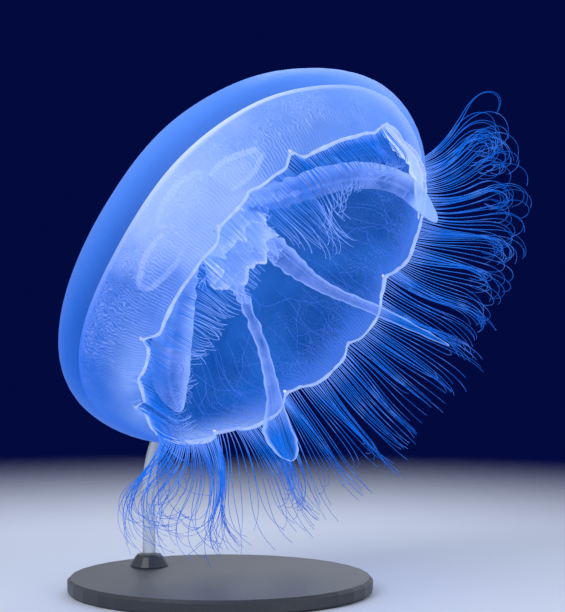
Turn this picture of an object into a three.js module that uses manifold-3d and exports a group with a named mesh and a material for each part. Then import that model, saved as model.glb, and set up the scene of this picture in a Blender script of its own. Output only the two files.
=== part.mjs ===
import * as THREE from "three";
import { mergeVertices } from "three/addons/utils/BufferGeometryUtils.js";
import Module from "manifold-3d";

// A moon jellyfish at life size, banked on a plain display stand.
// Millimetres, +Z up, origin at the centre of the stand's underside, front view along +Y.
// The bell has its own frame: its rim lies in the plane z = 0 and its crown is at +z.

const wasm = await Module();
wasm.setup();

const { sin, cos, PI } = Math;
const { lerp, clamp, smoothstep, degToRad } = THREE.MathUtils;

// ---- Driving dimensions ------------------------------------------------------------

const GAP = 0.3; // clearance between neighbouring solids

// Pose of the bell
const RIM_CENTRE = new THREE.Vector3(32, -22, 156);
const CROWN_ROLL = degToRad(138.4); // the crown's direction in the front view, from +X to +Z
const CROWN_AWAY = degToRad(27.1); // how far the crown leans back from the front
const FRONT_RISE = degToRad(4); // the front view looks down by this much

// Outside of the bell
const RIM_RADIUS = 94.8;
const BELL_RADIUS = 110.5;
const WALL_HEIGHT = 32.3; // rim to widest ring
const DOME_HEIGHT = 55.4; // widest ring to crown
const DOME_POWER = 1.74;
const WALL_POWER = 0.64;
const BELL_SIDES = 40;
const DOME_STEPS = 7;

// The bell is gently squared, as its four-part body is
const SWELL_WAVES = 4;
const SWELL_DEPTH = 2.7;
const SWELL_TURN = degToRad(21);
const SWELL_RADIUS = 60; // the waves die away inside this radius

// Hollow under the bell
const HOLLOW_RADIUS = 105.5;
const HOLLOW_WALL = 26;
const HOLLOW_DOME = 41;
const HOLLOW_POWER = 1.5;
const HOLLOW_STEPS = 6;

// Margin: one lobe between each two sense organs
const SEAM_HEIGHT = 20; // the lobes end here and the dome begins
const SEAM_THICKNESS = 6;
const EDGE_THICKNESS = 1.5;
const NOTCH_ANGLES = [-161, -131, -89, -58.5, -15, 66, 113, 142]; // degrees round the rim
const NOTCH_HEIGHTS = [2, 1.5, -0.5, 3.2, 4, 7.5, 6, 5]; // above the rim plane
const NOTCH_WIDTHS = [3, 3, 2.5, 3, 9, 4.5, 4, 4]; // degrees
const LOBE_SAGS = [4, 5.6, 1.2, 1.8, 2.6, 5, 4, 2]; // of the lobe after each notch
const LOBE_STEP = degToRad(6);
const SENSE_RADIUS = 1.4;
const SENSE_SIDES = 6;
const SENSE_RINGS = 4;

// Tentacles
const STRAND_PITCH = degToRad(5.2);
const STRAND_STEPS = 5;
const STRAND_SIDES = 3;
const STRAND_ROOT = 0.8;
const STRAND_TIP = 0.4;
const STRAND_SUNK = 3; // length of a root inside its lobe
const LENGTH_OUT = 56; // where the tentacles trail outwards
const LENGTH_IN = 30; // where they fall inwards, on the raised side
const LENGTH_SPREAD = 0.08; // share by which neighbours differ
const LEAN_OUT = degToRad(50);
const LEAN_IN = degToRad(-24);
const LEAN_SIDE = degToRad(78); // the side of the rim that leans outwards most
const LEAN_FROM = 0.08; // outward share where the lean begins to turn
const LEAN_TO = 0.5; // outward share where it has turned
const LEAN_LIFT = degToRad(18); // extra lift round LIFT_SIDE
const LIFT_SIDE = degToRad(2);
const LIFT_WIDTH = 0.5;
const LEAN_ROOT = 0.55; // share of the lean at the root
const LEAN_GAIN = 0.75; // and what it gains on the way to the tip
const BEND = 0.22; // radians by which a strand sways in its lean
const BEND_WAVES = 4.6;
const SWAY = 1.6; // sideways
const SWAY_WAVES = 3.1;
const STRAND_TURN = 2.4; // radians between one strand's waves and the next one's

// Gonads: horseshoes under the crown, round the stomach's middle
const STOMACH_SHIFT = new THREE.Vector3(0, -9, 0);
const GONAD_TURN = degToRad(-4);
const GONAD_INNER = 16; // distance of the open ends from the stomach's middle
const GONAD_OUTER = 45;
const GONAD_HALF_WIDTH = 16.5;
const GONAD_TUBE = 1.6;
const GONAD_SIDES = 5;
const GONAD_STEPS = 12;
// Half of a horseshoe: [share of the way out, share of the half width]
const GONAD_BOW = [
  [0, 0.84],
  [0.35, 1],
  [0.64, 0.86],
  [0.95, 0.42],
];

// Mouth and oral arms
const MOUTH_TURN = degToRad(55);
const MOUTH_HEIGHT = 46;
const MOUTH_RADIUS = 9;
const MOUTH_LOBES = 2.4;
const MOUTH_FADE = 0.7; // share of the lobes lost on the way up
const MOUTH_FLARE = 6;
const MOUTH_DIMPLE = 5;
const MOUTH_SIDES = 20;
const ARM_THICKNESS = 1.9;
const ARM_TAPER = 0.4; // share of the thickness lost at an edge
const ARM_STEPS = 6;
const ARM_SIDES = 8;
const ARM_LENGTHS = ["upper", "middle", "tip"];
const RUFFLE = 0.9;
const RUFFLE_WAVES = 9;

// Each arm: stations from root to tip as [distance from axis, degrees round, height],
// its width at equal steps from root to tip, and the depth of its gutter.
const ARMS = [
  {
    stations: [[14, 55, 44], [18, 55, 28], [20, 55, 10], [25, 55, -8], [41, 55, -32], [60, 55, -66]],
    widths: [8, 13, 12, 9, 6, 2.4],
    gutter: 0.3,
  },
  {
    stations: [[14, 145, 44], [17, 145, 24], [32, 146, 0], [46, 150, -20], [58, 156, -39], [66, 160, -54]],
    widths: [8, 8, 8, 9, 19, 12],
    gutter: 0.1,
  },
  {
    stations: [[14, 235, 44], [32, 224, 28], [52, 207, 12], [67, 193, 0], [77, 183, -12]],
    widths: [8, 11, 13, 12, 4],
    gutter: 0.2,
  },
  {
    stations: [[14, 325, 44], [38, 325, 20], [60, 326, 3], [76, 331, -13], [82, 339, -28], [76, 349, -46]],
    widths: [8, 10, 10, 9, 13, 3],
    gutter: 0.2,
  },
];

// Stand
const BASE_RADIUS = 78;
const BASE_THICKNESS = 8;
const BASE_EDGE = 1.6;
const BASE_SIDES = 36;
const ROD_RADIUS = 3.5;
const ROD_SIDES = 10;
const ROD_STEPS = 12;
const ROD_REACH = 16; // from the cup to the rod's bend
const ROD_KNEE = 14; // depth of the bend
const COLLAR_RADIUS = 7;
const COLLAR_HEIGHT = 6;
const COLLAR_SKIRT = 3;
const COLLAR_EDGE = 1;
const CUP_RADIUS = 10;
const CUP_THICKNESS = 3;
const CUP_EDGE = 1;
const CUP_HOLLOW = 0.9;
const FITTING_SIDES = 16;
const HOLD_ANGLE = degToRad(152); // where the cup meets the bell
const HOLD_HEIGHT = 25;

// ---- Materials ---------------------------------------------------------------------

function finish(color, roughness, opacity = 1) {
  return new THREE.MeshStandardMaterial({
    color,
    roughness,
    metalness: 0,
    opacity,
    transparent: opacity < 1,
  });
}

const JELLY = finish(0x5b8cf5, 0.18, 0.6);
const MARGIN = finish(0x8fa8fa, 0.25, 0.75);
const GONAD = finish(0xc3cdfb, 0.4);
const ARM = finish(0x9fb0f6, 0.3, 0.75);
const SENSE = finish(0xe9ecff, 0.3);
const STAND = finish(0x2b2e33, 0.45);
const ROD = finish(0xdfe6ea, 0.08, 0.4);

// ---- Shape helpers -----------------------------------------------------------------

// A closed geometry reduced to shared positions, with each vertex moved by place(x, y, z).
function moulded(geometry, place) {
  const made = geometry.clone();
  made.deleteAttribute("normal");
  made.deleteAttribute("uv");
  const position = made.attributes.position;
  for (let i = 0; i < position.count; i += 1) {
    const p = place(position.getX(i), position.getY(i), position.getZ(i));
    position.setXYZ(i, p.x, p.y, p.z);
  }
  return mergeVertices(made, 1e-4);
}

// A cylinder of unit radius along z, from z = -0.5 to 0.5.
function roundBar(sides, steps) {
  return new THREE.CylinderGeometry(1, 1, 1, sides, steps).rotateX(PI / 2);
}

function toSolid(geometry) {
  return new wasm.Manifold(
    new wasm.Mesh({
      numProp: 3,
      vertProperties: new Float32Array(geometry.attributes.position.array),
      triVerts: new Uint32Array(geometry.index.array),
    }),
  );
}

function toGeometry(solid) {
  const mesh = solid.getMesh();
  const geometry = new THREE.BufferGeometry();
  geometry.setAttribute("position", new THREE.BufferAttribute(mesh.vertProperties, 3));
  geometry.setIndex(new THREE.BufferAttribute(mesh.triVerts, 1));
  geometry.computeVertexNormals();
  return geometry;
}

function named(name, geometry, material) {
  geometry.computeVertexNormals();
  const mesh = new THREE.Mesh(geometry, material);
  mesh.name = name;
  return mesh;
}

// A round tube along a curve.
function tubeAlong(curve, radius, sides, steps) {
  const ring = new THREE.EllipseCurve(0, 0, radius, radius).getPoints(sides).slice(0, sides);
  const tube = new THREE.ExtrudeGeometry(new THREE.Shape(ring), { steps, extrudePath: curve });
  return moulded(tube, (x, y, z) => new THREE.Vector3(x, y, z));
}

function polar(radius, angle, height) {
  return new THREE.Vector3(radius * cos(angle), radius * sin(angle), height);
}

// Value at t of a list of numbers spaced equally from t = 0 to t = 1.
function along(list, t) {
  const place = t * (list.length - 1);
  const step = Math.min(Math.floor(place), list.length - 2);
  return lerp(list[step], list[step + 1], place - step);
}

// A solid of revolution about z from a closed outline of [radius, height] points.
function turned(outline, sides) {
  const points = outline.map(([radius, height]) => new THREE.Vector2(radius, height));
  return moulded(new THREE.LatheGeometry(points, sides), (x, y, z) => new THREE.Vector3(x, -z, y));
}

// ---- Surfaces of the bell ----------------------------------------------------------

function wallRadius(height) {
  const share = sin((clamp(height / WALL_HEIGHT, 0, 1) * PI) / 2) ** WALL_POWER;
  return lerp(RIM_RADIUS, BELL_RADIUS, share);
}

function domePoint(angle, radius, base, rise, power) {
  return [radius * cos(angle) ** (2 / power), base + rise * sin(angle) ** (2 / power)];
}

function hollowHeight(radius) {
  const share = (1 - (radius / HOLLOW_RADIUS) ** HOLLOW_POWER) ** (1 / HOLLOW_POWER);
  return HOLLOW_WALL + HOLLOW_DOME * share;
}

// A place on the even bell, moved in or out where the bell is gently squared.
function onBell(radius, theta, height) {
  const up = clamp(height / (WALL_HEIGHT + DOME_HEIGHT), 0, 1);
  const share = sin(PI * up) * Math.min(radius / SWELL_RADIUS, 1);
  const swell = SWELL_DEPTH * cos(SWELL_WAVES * (theta - SWELL_TURN)) * share;
  return polar(radius + swell, theta, height);
}

function squared(geometry) {
  return moulded(geometry, (x, y, z) => onBell(Math.hypot(x, y), Math.atan2(y, x), z));
}

function angleBetween(a, b) {
  const turn = (a - b) / (2 * PI);
  return 2 * PI * (turn - Math.round(turn));
}

// The lobe that an angle round the rim belongs to.
function lobeAt(theta) {
  const start = degToRad(NOTCH_ANGLES[0]);
  const turned = (theta - start + 4 * PI) % (2 * PI);
  const after = NOTCH_ANGLES.findIndex((degrees) => degToRad(degrees) - start > turned + 1e-9);
  return (after + NOTCH_ANGLES.length - 1) % NOTCH_ANGLES.length;
}

// Height of the bell's edge: drawn up into a notch at each sense organ.
function edgeHeight(theta) {
  const lobe = lobeAt(theta);
  const heights = [lobe, (lobe + 1) % NOTCH_ANGLES.length].map((notch) => {
    const away = angleBetween(theta, degToRad(NOTCH_ANGLES[notch])) / degToRad(NOTCH_WIDTHS[notch]);
    return lerp(-LOBE_SAGS[lobe], NOTCH_HEIGHTS[notch], Math.exp(-away * away));
  });
  return Math.max(...heights);
}

// ---- Bell --------------------------------------------------------------------------

function bellDome() {
  const shoulder = (SEAM_HEIGHT + WALL_HEIGHT) / 2;
  const outside = [SEAM_HEIGHT, shoulder].map((height) => [wallRadius(height), height]);
  for (let i = 0; i < DOME_STEPS; i += 1) {
    const angle = (i / DOME_STEPS) * (PI / 2);
    outside.push(domePoint(angle, BELL_RADIUS, WALL_HEIGHT, DOME_HEIGHT, DOME_POWER));
  }
  outside.push([0, WALL_HEIGHT + DOME_HEIGHT]);
  const inside = [[0, HOLLOW_WALL + HOLLOW_DOME]];
  for (let i = HOLLOW_STEPS - 1; i >= 0; i -= 1) {
    const angle = (i / HOLLOW_STEPS) * (PI / 2);
    inside.push(domePoint(angle, HOLLOW_RADIUS, HOLLOW_WALL, HOLLOW_DOME, HOLLOW_POWER));
  }
  inside.push([wallRadius(SEAM_HEIGHT) - SEAM_THICKNESS, SEAM_HEIGHT]);
  return squared(turned([...outside, ...inside, outside[0]], BELL_SIDES));
}

// One lobe of the margin: a curved plate between two notches.
function lobePlate(start, end) {
  const cut = GAP / 2 / RIM_RADIUS;
  const steps = Math.round((end - start) / LOBE_STEP);
  return moulded(new THREE.BoxGeometry(1, 1, 1, 1, steps, 2), (x, y, z) => {
    const theta = lerp(start + cut, end - cut, y + 0.5);
    const height = lerp(edgeHeight(theta), SEAM_HEIGHT - GAP, z + 0.5);
    const thickness = lerp(EDGE_THICKNESS, SEAM_THICKNESS, z + 0.5);
    return onBell(wallRadius(height) - (0.5 - x) * thickness, theta, height);
  });
}

// A place in the middle of a lobe's plate, a little way up from its edge.
function plateMiddle(theta, up) {
  const edge = edgeHeight(theta);
  const halfway = (edge + SEAM_HEIGHT - GAP) / 2;
  const share = up / (halfway - edge);
  const outside = lerp(wallRadius(edge), wallRadius(halfway), share);
  const thickness = lerp(EDGE_THICKNESS, SEAM_THICKNESS, share / 2);
  return onBell(outside - thickness / 2, theta, edge + up);
}

// How far the tentacles at an angle round the rim belong to the outward ones, from 0 to 1.
function outwardShare(theta) {
  return smoothstep(0.5 + 0.5 * cos(theta - LEAN_SIDE), LEAN_FROM, LEAN_TO);
}

// Lean of the tentacles away from the bell's axis.
function leanAt(theta) {
  const lift = Math.exp(-((angleBetween(theta, LIFT_SIDE) / LIFT_WIDTH) ** 2));
  return lerp(LEAN_IN, LEAN_OUT, outwardShare(theta)) + LEAN_LIFT * lift;
}

// Centre line of a tentacle: it leaves the edge along the wall and bends to its lean.
function strandLine(theta, number) {
  const phase = number * STRAND_TURN;
  const share = 1 + LENGTH_SPREAD * (sin(phase * SWAY) - 1);
  const step = (lerp(LENGTH_IN, LENGTH_OUT, outwardShare(theta)) * share) / STRAND_STEPS;
  const points = [STRAND_SUNK, 0].map((up) => plateMiddle(theta, up));
  let radius = Math.hypot(points[1].x, points[1].y);
  let height = points[1].z;
  for (let i = 1; i <= STRAND_STEPS; i += 1) {
    const t = i / STRAND_STEPS;
    const lean = leanAt(theta) * (LEAN_ROOT + LEAN_GAIN * t) + BEND * sin(BEND_WAVES * t + phase);
    radius += step * sin(lean);
    height -= step * cos(lean);
    const sway = (SWAY * t * sin(SWAY_WAVES * t + phase)) / RIM_RADIUS;
    points.push(polar(radius, theta + sway, height));
  }
  return new THREE.CatmullRomCurve3(points);
}

function strand(theta, number) {
  const curve = strandLine(theta, number);
  const side = polar(1, theta + PI / 2, 0);
  return moulded(roundBar(STRAND_SIDES, STRAND_STEPS + 1), (x, y, z) => {
    const t = z + 0.5;
    const girth = lerp(STRAND_ROOT, STRAND_TIP, t);
    const forward = curve.getTangent(t);
    const out = forward.clone().cross(side).normalize();
    const point = curve.getPoint(t);
    point.addScaledVector(side, x * girth);
    return point.addScaledVector(out, y * girth);
  });
}

function marginLobe(index) {
  const start = degToRad(NOTCH_ANGLES[index]);
  const next = NOTCH_ANGLES[(index + 1) % NOTCH_ANGLES.length];
  const end = start + ((degToRad(next) - start + 2 * PI) % (2 * PI));
  let solid = toSolid(lobePlate(start, end));
  const count = Math.round((end - start) / STRAND_PITCH);
  for (let i = 0; i < count; i += 1) {
    const theta = lerp(start, end, (i + 0.5) / count);
    solid = solid.add(toSolid(strand(theta, i + count * index)));
  }
  return toGeometry(solid);
}

function senseOrgan(index) {
  const theta = degToRad(NOTCH_ANGLES[index]);
  const height = NOTCH_HEIGHTS[index] - SENSE_RADIUS - 2 * GAP;
  const centre = polar(wallRadius(height) - EDGE_THICKNESS / 2, theta, height);
  const bead = new THREE.SphereGeometry(SENSE_RADIUS, SENSE_SIDES, SENSE_RINGS);
  return moulded(bead, (x, y, z) => new THREE.Vector3(x, -z, y).add(centre));
}

// ---- Gonads, mouth and arms ---------------------------------------------------------

function gonad(index) {
  const turn = GONAD_TURN + (index * PI) / 2;
  const bow = GONAD_BOW.map(([out, across]) => [out, -across]);
  bow.push([1, 0], ...GONAD_BOW.toReversed());
  const points = bow.map(([out, across]) => {
    const place = new THREE.Vector3(lerp(GONAD_INNER, GONAD_OUTER, out), across * GONAD_HALF_WIDTH, 0);
    place.applyAxisAngle(new THREE.Vector3(0, 0, 1), turn).add(STOMACH_SHIFT);
    const radius = place.length();
    return onBell(radius, Math.atan2(place.y, place.x), hollowHeight(radius) - GONAD_TUBE - 3 * GAP);
  });
  return tubeAlong(new THREE.CatmullRomCurve3(points), GONAD_TUBE, GONAD_SIDES, GONAD_STEPS);
}

// The mouth's stalk: a four-lobed column from the roof of the hollow, dimpled below.
function mouthStalk() {
  const top = hollowHeight(STOMACH_SHIFT.length() + MOUTH_RADIUS + MOUTH_FLARE) - 2 * GAP;
  return moulded(roundBar(MOUTH_SIDES, 3), (x, y, z) => {
    const t = z + 0.5;
    const reach = Math.hypot(x, y);
    const angle = Math.atan2(y, x);
    const lobes = MOUTH_LOBES * cos(4 * (angle - MOUTH_TURN)) * (1 - MOUTH_FADE * t);
    const radius = (MOUTH_RADIUS + lobes + MOUTH_FLARE * t * t) * reach;
    const dimple = t === 0 ? MOUTH_DIMPLE * (1 - reach) : 0;
    return polar(radius, angle, lerp(MOUTH_HEIGHT, top, t) + dimple).add(STOMACH_SHIFT);
  });
}

// An arm's roots stand round the stomach's middle, and its tip round the bell's axis.
function armLine(arm) {
  const points = arm.stations.map(([radius, degrees, height], i) =>
    polar(radius, degToRad(degrees), height).addScaledVector(STOMACH_SHIFT, Math.max(1 - i / 2, 0)),
  );
  return new THREE.CatmullRomCurve3(points);
}

// One length of an arm: a ribbon with a gutter along its middle and ruffled edges.
function armLength(arm, index) {
  const curve = armLine(arm);
  const cut = GAP / curve.getLength();
  const start = index / ARM_LENGTHS.length + (index > 0 ? cut : 0);
  const end = (index + 1) / ARM_LENGTHS.length;
  return moulded(roundBar(ARM_SIDES, ARM_STEPS), (x, y, z) => {
    const t = lerp(start, end, z + 0.5);
    const point = curve.getPointAt(t);
    const forward = curve.getTangentAt(t);
    const round = polar(1, Math.atan2(point.y, point.x) + PI / 2, 0);
    const across = round.addScaledVector(forward, -round.dot(forward)).normalize();
    const up = forward.clone().cross(across);
    const width = along(arm.widths, t);
    const ruffle = RUFFLE * x * Math.abs(x) * sin(2 * PI * RUFFLE_WAVES * t);
    const hollow = arm.gutter * width * x * x;
    const thick = (ARM_THICKNESS / 2) * (1 - ARM_TAPER * x * x);
    point.addScaledVector(across, (x * width) / 2);
    return point.addScaledVector(up, y * thick + hollow + ruffle);
  });
}

// ---- Stand -------------------------------------------------------------------------

function standBase() {
  const inner = BASE_RADIUS - BASE_EDGE;
  const outline = [
    [0, 0],
    [inner, 0],
    [BASE_RADIUS, BASE_EDGE],
    [BASE_RADIUS, BASE_THICKNESS - BASE_EDGE],
    [inner, BASE_THICKNESS],
    [0, BASE_THICKNESS],
  ];
  return turned(outline, BASE_SIDES);
}

// The place on the bell's wall that the cup holds, and the way out of the wall there.
function holdPlace(pose) {
  const [here, above] = [0, 1].map((step) =>
    onBell(wallRadius(HOLD_HEIGHT + step), HOLD_ANGLE, HOLD_HEIGHT + step),
  );
  const around = polar(1, HOLD_ANGLE + PI / 2, 0);
  const outward = around.cross(above.sub(here)).normalize();
  const turn = new THREE.Matrix4().extractRotation(pose);
  return { point: here.applyMatrix4(pose), outward: outward.applyMatrix4(turn) };
}

function standCup(hold) {
  const outline = [
    [0, 0],
    [ROD_RADIUS + CUP_EDGE, 0],
    [CUP_RADIUS, CUP_THICKNESS - CUP_EDGE],
    [CUP_RADIUS, CUP_THICKNESS],
    [0, CUP_THICKNESS - CUP_HOLLOW],
  ];
  const turn = new THREE.Quaternion().setFromUnitVectors(
    new THREE.Vector3(0, 0, 1),
    hold.outward.clone().negate(),
  );
  const cup = turned(outline, FITTING_SIDES);
  cup.translate(0, 0, -CUP_THICKNESS - 2 * GAP);
  return cup.applyQuaternion(turn).translate(...hold.point.toArray());
}

function standRod(hold) {
  const end = hold.point.clone().addScaledVector(hold.outward, CUP_THICKNESS + 3 * GAP);
  const bend = end.clone().addScaledVector(hold.outward, ROD_REACH);
  const foot = new THREE.Vector3(bend.x, bend.y, BASE_THICKNESS + GAP);
  const knee = bend.clone();
  knee.z -= ROD_KNEE;
  const path = new THREE.CurvePath();
  path.add(new THREE.LineCurve3(foot, knee));
  path.add(new THREE.QuadraticBezierCurve3(knee, bend, end));
  return { rod: tubeAlong(path, ROD_RADIUS, ROD_SIDES, ROD_STEPS), foot };
}

function standCollar(foot) {
  const bore = ROD_RADIUS + GAP;
  const outline = [
    [bore, 0],
    [COLLAR_RADIUS + COLLAR_SKIRT, 0],
    [COLLAR_RADIUS, COLLAR_HEIGHT - COLLAR_EDGE],
    [COLLAR_RADIUS - COLLAR_EDGE, COLLAR_HEIGHT],
    [bore, COLLAR_HEIGHT],
    [bore, 0],
  ];
  return turned(outline, FITTING_SIDES).translate(foot.x, foot.y, foot.z);
}

// ---- Assembly ----------------------------------------------------------------------

// The bell's frame in the object's frame: across the front view, away from it, and the crown.
function bellPose() {
  const crown = new THREE.Vector3(
    cos(CROWN_AWAY) * cos(CROWN_ROLL),
    sin(CROWN_AWAY),
    cos(CROWN_AWAY) * sin(CROWN_ROLL),
  );
  const across = new THREE.Vector3(sin(CROWN_ROLL), 0, -cos(CROWN_ROLL));
  const away = crown.clone().cross(across);
  const pose = new THREE.Matrix4().makeBasis(across, away, crown);
  pose.premultiply(new THREE.Matrix4().makeRotationX(-FRONT_RISE));
  return pose.setPosition(RIM_CENTRE);
}

function jellyfish(pose) {
  const group = new THREE.Group();
  group.applyMatrix4(pose);
  group.add(named("bell_dome", bellDome(), JELLY));
  NOTCH_ANGLES.forEach((_, i) => {
    group.add(named(`margin_lobe_${i + 1}`, marginLobe(i), MARGIN));
    group.add(named(`sense_organ_${i + 1}`, senseOrgan(i), SENSE));
  });
  for (let i = 0; i < 4; i += 1) {
    group.add(named(`gonad_${i + 1}`, gonad(i), GONAD));
  }
  group.add(named("mouth_stalk", mouthStalk(), ARM));
  ARMS.forEach((arm, i) => {
    ARM_LENGTHS.forEach((length, j) => {
      group.add(named(`oral_arm_${i + 1}_${length}`, armLength(arm, j), ARM));
    });
  });
  return group;
}

function displayStand(pose) {
  const group = new THREE.Group();
  const hold = holdPlace(pose);
  const { rod, foot } = standRod(hold);
  group.add(named("stand_base", standBase(), STAND));
  group.add(named("stand_collar", standCollar(foot), STAND));
  group.add(named("stand_rod", rod, ROD));
  group.add(named("stand_cup", standCup(hold), ROD));
  return group;
}

const root = new THREE.Group();
const pose = bellPose();
root.add(jellyfish(pose));
root.add(displayStand(pose));

export default root;
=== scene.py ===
import random
from math import atan2, cos, exp, hypot, pi, radians, sin, tau

import bpy
from mathutils import Matrix, Vector, noise


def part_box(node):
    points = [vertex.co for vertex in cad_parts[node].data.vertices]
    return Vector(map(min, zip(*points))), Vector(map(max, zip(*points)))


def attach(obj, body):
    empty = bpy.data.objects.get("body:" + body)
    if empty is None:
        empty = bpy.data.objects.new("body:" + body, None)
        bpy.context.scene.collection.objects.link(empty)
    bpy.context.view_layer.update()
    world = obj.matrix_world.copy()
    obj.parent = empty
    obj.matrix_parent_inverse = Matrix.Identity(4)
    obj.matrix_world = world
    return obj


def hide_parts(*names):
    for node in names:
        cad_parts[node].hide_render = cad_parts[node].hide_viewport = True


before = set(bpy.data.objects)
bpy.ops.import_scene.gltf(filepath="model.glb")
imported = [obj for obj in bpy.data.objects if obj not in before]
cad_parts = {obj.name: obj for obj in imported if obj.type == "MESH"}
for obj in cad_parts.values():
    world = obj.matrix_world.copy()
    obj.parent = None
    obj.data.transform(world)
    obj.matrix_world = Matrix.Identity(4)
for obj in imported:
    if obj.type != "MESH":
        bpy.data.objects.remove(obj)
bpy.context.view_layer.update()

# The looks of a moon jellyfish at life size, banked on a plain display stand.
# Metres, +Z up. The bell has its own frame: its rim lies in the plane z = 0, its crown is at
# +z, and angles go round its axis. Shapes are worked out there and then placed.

MM = 0.001
SEED = 7
noise.seed_set(SEED)  # without it the drift of the curly threads is new in each run

# ---- Sizes ---------------------------------------------------------------------------

CROWN_ROLL = radians(138.4)  # the crown's direction in the front view, from +X to +Z
CROWN_AWAY = radians(27.1)  # how far the crown leans back from the front
FRONT_RISE = radians(4)  # the front view looks down by this much

RIM_RADIUS = 94.8 * MM
BELL_RADIUS = 110.5 * MM
WALL_HEIGHT = 32.3 * MM
DOME_HEIGHT = 55.4 * MM
DOME_POWER = 1.74
WALL_POWER = 0.64
SWELL_WAVES = 4  # the bell is gently squared, as its four-part body is
SWELL_DEPTH = 2.7 * MM
SWELL_TURN = radians(21)
SWELL_RADIUS = 60 * MM
HOLLOW_RADIUS = 105.5 * MM
HOLLOW_WALL = 26 * MM
HOLLOW_DOME = 41 * MM
HOLLOW_POWER = 1.5
EDGE_THICKNESS = 1.4 * MM
SEAM_HEIGHT = 20 * MM

NOTCH_ANGLES = [-161, -131, -89, -58.5, -15, 66, 113, 142]  # degrees round the rim
NOTCH_HEIGHTS = [2, 1.5, -0.5, 3.2, 4, 7.5, 6, 5]  # millimetres above the rim plane
NOTCH_WIDTHS = [3, 3, 2.5, 3, 9, 4.5, 4, 4]  # degrees
LOBE_SAGS = [4, 5.6, 1.2, 1.8, 2.6, 5, 4, 2]  # of the lobe after each notch
CRIMPS = [(-146, 3.4, 3), (-75.5, 1.8, 2.4), (89, 4.4, 3)]  # degrees, millimetres, degrees
LOBE_BULGE = 1.0 * MM
RIM_BEAD = 0.92 * MM
BELL_STEPS = 540  # faces round the bell
OUTER_STEPS = 44  # from its rim to its crown
INNER_STEPS = 60
RIM_STEPS = 900
NET_STEPS = 360
NET_DEPTHS = (0.22, 0.34)  # shares of the wall's thickness, from the lining
BEAD_RADIUS = 0.95 * MM
BEAD_LIFT = 1.0 * MM
BEAD_STRETCH = 1.25
FOLD_FROM = radians(-20)
FOLD_TO = radians(42)
FOLD_WIDTH = 6.4 * MM
FOLD_ROLL = 1.6 * MM
BLADE = 0.5 * MM  # thickness of the fold, the arms and the lips

STRAND_PITCH = radians(0.56)
STRAND_STEPS = 30
STRAND_ROOT = 0.25 * MM
STRAND_TIP = 0.13 * MM
ROOT_LIFT = 0.6 * MM  # each one starts this far up inside the margin
LENGTH_OUT = 66 * MM
LENGTH_IN = 29 * MM
LONG_SIDE = radians(-66)  # a tuft of longer ones hangs here
LONG_REACH = radians(13)
BARE_FROM = radians(-18)  # none grow on the turned-in fold
BARE_TO = radians(7)
LEAN_OUT = radians(50)
LEAN_IN = radians(-24)
LIFTS = [(10, 42, 20), (169, 58, 10)]  # degrees round, of lift and of reach
HOOKS = [(20, 3.0, 52), (168, 2.0, 12)]  # degrees round, radians of turn, degrees of reach
FAN_START = radians(-1)  # from here round they trail outside the bell
FAN_SPAN = radians(178)
FAN_RISE = radians(9)
TUFT_PULL = 0.16  # how far neighbours lean together into tufts, in radians

LIP_TUFTS = 44
LIP_STEPS = 32
LOBE_TURN = radians(55)  # where the first of the mouth's four lobes stands
TUBE_TOP = 63.5  # millimetres above the rim plane
TUBE_END = 24
TUBE_RADII = (16, 12)  # millimetres, at the stomach and where the lips spread
TUBE_STEPS = (200, 40)
FRILL_END = 0.2  # the share of an arm that the curly threads reach
FRILL_TURNS = 6
FRILL_STEPS = 22 * FRILL_TURNS
FRILL_COIL = 3.2 * MM
FRILL_GIRTH = 0.26 * MM
CURTAIN_REACH = 0.26  # the share of each arm that its side curtains hang from
CURTAIN_TURN = radians(8)

STOMACH_SHIFT = Vector((0, -9, 0)) * MM  # the stomach stands beside the bell's axis
CLOUD_CENTRE = Vector((2, -98, 20)) * MM  # of the milky cloud on the front side of the wall
GONAD_TURN = radians(-4)
GONAD_INNER = 15 * MM
GONAD_OUTER = 45 * MM
GONAD_HALF_WIDTH = 17 * MM
GONAD_BOW = [(0.14, 0.88), (0.38, 1), (0.64, 0.86), (0.95, 0.42)]  # shares out and across
GONAD_GIRTH = 2.0 * MM
GONAD_FRILL = 1.4 * MM
GONAD_DROP = 1.9 * MM  # from the roof of the hollow to the middle of a loop
POUCH_WALL = 0.3 * MM

# Each arm: stations from root to tip as [distance from axis, degrees round, height], its
# width at equal steps from root to tip, the depth of its gutter, how far its blade is turned
# about its length, where its tip starts to round off, and which edge is the milky one of a
# veil (0 for both edges).
ARMS = [
    dict(
        stations=[
            [14, 55, 44],
            [18, 55, 28],
            [20, 55, 10],
            [25, 55, -8],
            [41, 55, -32],
            [60, 55, -66],
        ],
        widths=[10, 16, 14, 8.5, 6, 5.5, 2],
        gutter=0.24,
        twist=0,
        round_from=0.93,
        veil=0,
    ),
    dict(
        stations=[
            [14, 145, 44],
            [17, 145, 24],
            [32, 146, 0],
            [46, 150, -20],
            [58, 156, -39],
            [66, 160, -54],
        ],
        widths=[8, 7.5, 7.5, 8, 12, 27, 25],
        gutter=0.06,
        twist=0,
        round_from=0.84,
        veil=0,
    ),
    dict(
        stations=[
            [14, 235, 46],
            [34, 222, 33],
            [56, 206, 18],
            [71, 193, 6],
            [80, 184, -5],
        ],
        widths=[9, 16, 21, 20, 12],
        gutter=0.12,
        twist=62,
        round_from=0.75,
        veil=-1,
    ),
    dict(
        stations=[
            [14, 325, 46],
            [38, 325, 24],
            [60, 326, 7],
            [76, 331, -10],
            [82, 339, -27],
            [76, 349, -46],
        ],
        widths=[9, 15, 18, 15, 12, 9],
        gutter=0.1,
        twist=55,
        round_from=0.82,
        veil=1,
    ),
]

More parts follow.
